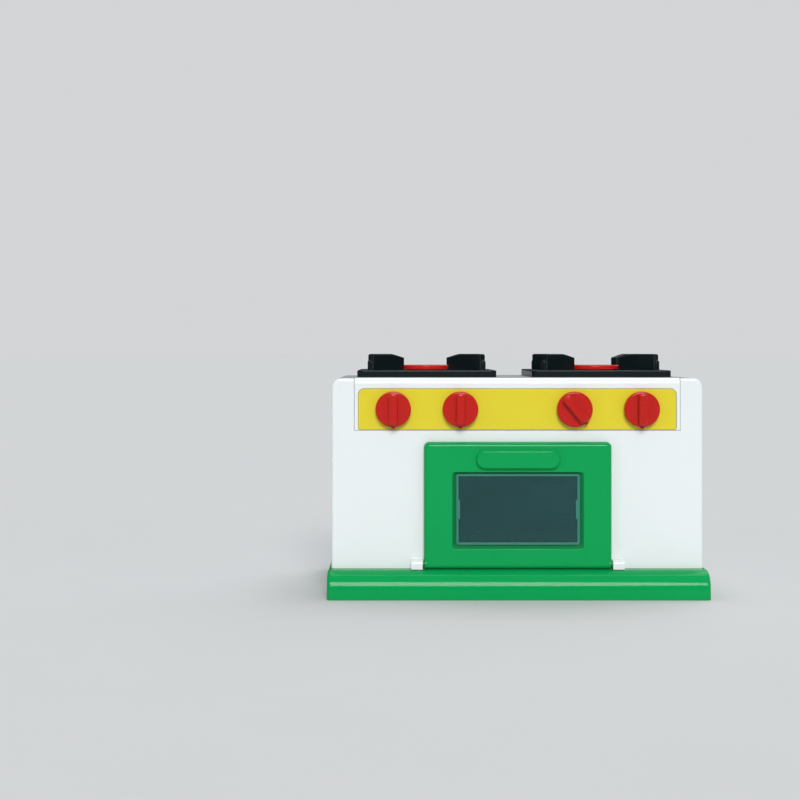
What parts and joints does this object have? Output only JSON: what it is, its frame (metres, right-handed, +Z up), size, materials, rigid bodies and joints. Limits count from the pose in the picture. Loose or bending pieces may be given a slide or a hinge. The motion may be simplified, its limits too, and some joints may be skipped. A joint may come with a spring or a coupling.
{
  "type": "toy oven",
  "caption": "Moulded toy cooker: white cabinet with turning knobs on a panel, drop-down windowed oven door, hob with pan grates and burner caps, on a wider base.",
  "frame": {"origin": "middle of the base, on the surface that the oven stands on", "axes": "+Z up, -Y towards the front (door side), +X to the right seen from the front"},
  "size_m": [0.2454, 0.148, 0.1571],
  "materials": {
    "white_plastic": "gloss moulded",
    "green_plastic": "gloss moulded",
    "yellow_plastic": "gloss moulded",
    "red_plastic": "gloss moulded",
    "black_plastic": "satin moulded",
    "clear_plastic": "clear",
    "dark_liner": "satin moulded",
    "natural_nylon": "moulded",
    "screw_steel": "zinc plated"
  },
  "bodies": {
    "cabinet": {"cabinet_shell": "white_plastic", "hob_plate": "white_plastic", "rear_cover": "white_plastic", "base_tray": "green_plastic", "control_panel": "yellow_plastic", "burner_cap_left": "red_plastic", "burner_cap_right": "red_plastic", "pan_support_left": "black_plastic", "pan_support_right": "black_plastic", "oven_liner": "dark_liner", "oven_shelf": "dark_liner", "burner_clip_left": "natural_nylon", "burner_clip_right": "natural_nylon", "base_screws": "screw_steel", "rear_screws": "screw_steel"},
    "door": {"door_frame": "green_plastic", "door_handle": "green_plastic", "door_window": "clear_plastic", "window_retainer": "green_plastic", "retainer_screws": "screw_steel"},
    "knob_1_body": {"knob_1": "red_plastic", "knob_clip_1": "natural_nylon"},
    "knob_2_body": {"knob_2": "red_plastic", "knob_clip_2": "natural_nylon"},
    "knob_3_body": {"knob_3": "red_plastic", "knob_clip_3": "natural_nylon"},
    "knob_4_body": {"knob_4": "red_plastic", "knob_clip_4": "natural_nylon"}
  },
  "joints": [
    {"name": "door_hinge", "type": "hinge", "parent": "cabinet", "child": "door", "pos_m": [0, -0.0624, 0.0217], "axis": [1, 0, 0], "range_deg": [0, 90]},
    {"name": "knob_1_turn", "type": "hinge", "parent": "cabinet", "child": "knob_1_body", "pos_m": [-0.0803, -0.059, 0.12135], "axis": [0, -1, 0], "continuous": true},
    {"name": "knob_2_turn", "type": "hinge", "parent": "cabinet", "child": "knob_2_body", "pos_m": [-0.0369, -0.059, 0.12135], "axis": [0, -1, 0], "continuous": true},
    {"name": "knob_3_turn", "type": "hinge", "parent": "cabinet", "child": "knob_3_body", "pos_m": [0.0369, -0.059, 0.12135], "axis": [0, -1, 0], "continuous": true},
    {"name": "knob_4_turn", "type": "hinge", "parent": "cabinet", "child": "knob_4_body", "pos_m": [0.0803, -0.059, 0.12135], "axis": [0, -1, 0], "continuous": true}
  ]
}
